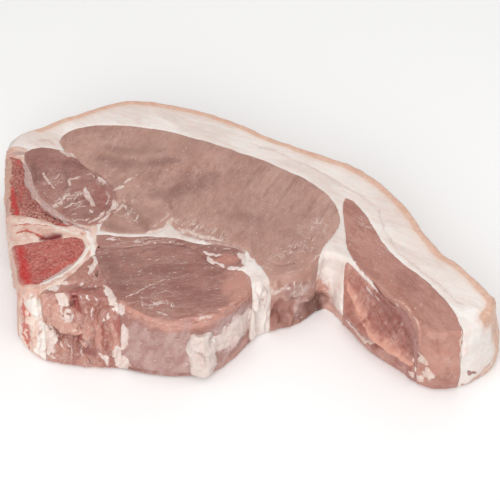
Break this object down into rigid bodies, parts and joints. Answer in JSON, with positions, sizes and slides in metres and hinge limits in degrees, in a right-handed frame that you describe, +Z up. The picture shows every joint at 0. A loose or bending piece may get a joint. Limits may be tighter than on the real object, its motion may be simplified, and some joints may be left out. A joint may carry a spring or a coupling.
{
  "type": "raw pork chop",
  "caption": "Raw bone-in pork loin chop lying flat: loin eye, tenderloin, sawn backbone, fat cap with rind and a curved belly tail.",
  "frame": {"origin": "centre of the bounding box of the underside, on the surface the chop lies on", "axes": "+X from the sawn backbone to the belly tail, +Y towards the fat cap and rind over the loin, +Z up out of the upper cut face"},
  "size_m": [0.1808, 0.1254, 0.028],
  "materials": {
    "bone": "moist sawn bone with red marrow",
    "sheath": "moist gristle and fat",
    "dark_meat": "moist raw meat",
    "loin_meat": "moist raw meat",
    "belly_meat": "moist raw meat",
    "fat": "smooth waxy fat"
  },
  "bodies": {
    "root": {"spine_bone": "bone", "vertebra_bone": "bone", "bone_sheath": "sheath", "back_muscle": "dark_meat", "loin_muscle": "loin_meat", "chain_muscle": "dark_meat", "tenderloin_muscle": "dark_meat", "trim_muscle": "belly_meat", "tail_outer_muscle": "belly_meat", "tail_inner_muscle": "belly_meat", "seam_fat": "fat", "fat_cap": "fat", "fat_lump": "fat"}
  },
  "joints": []
}
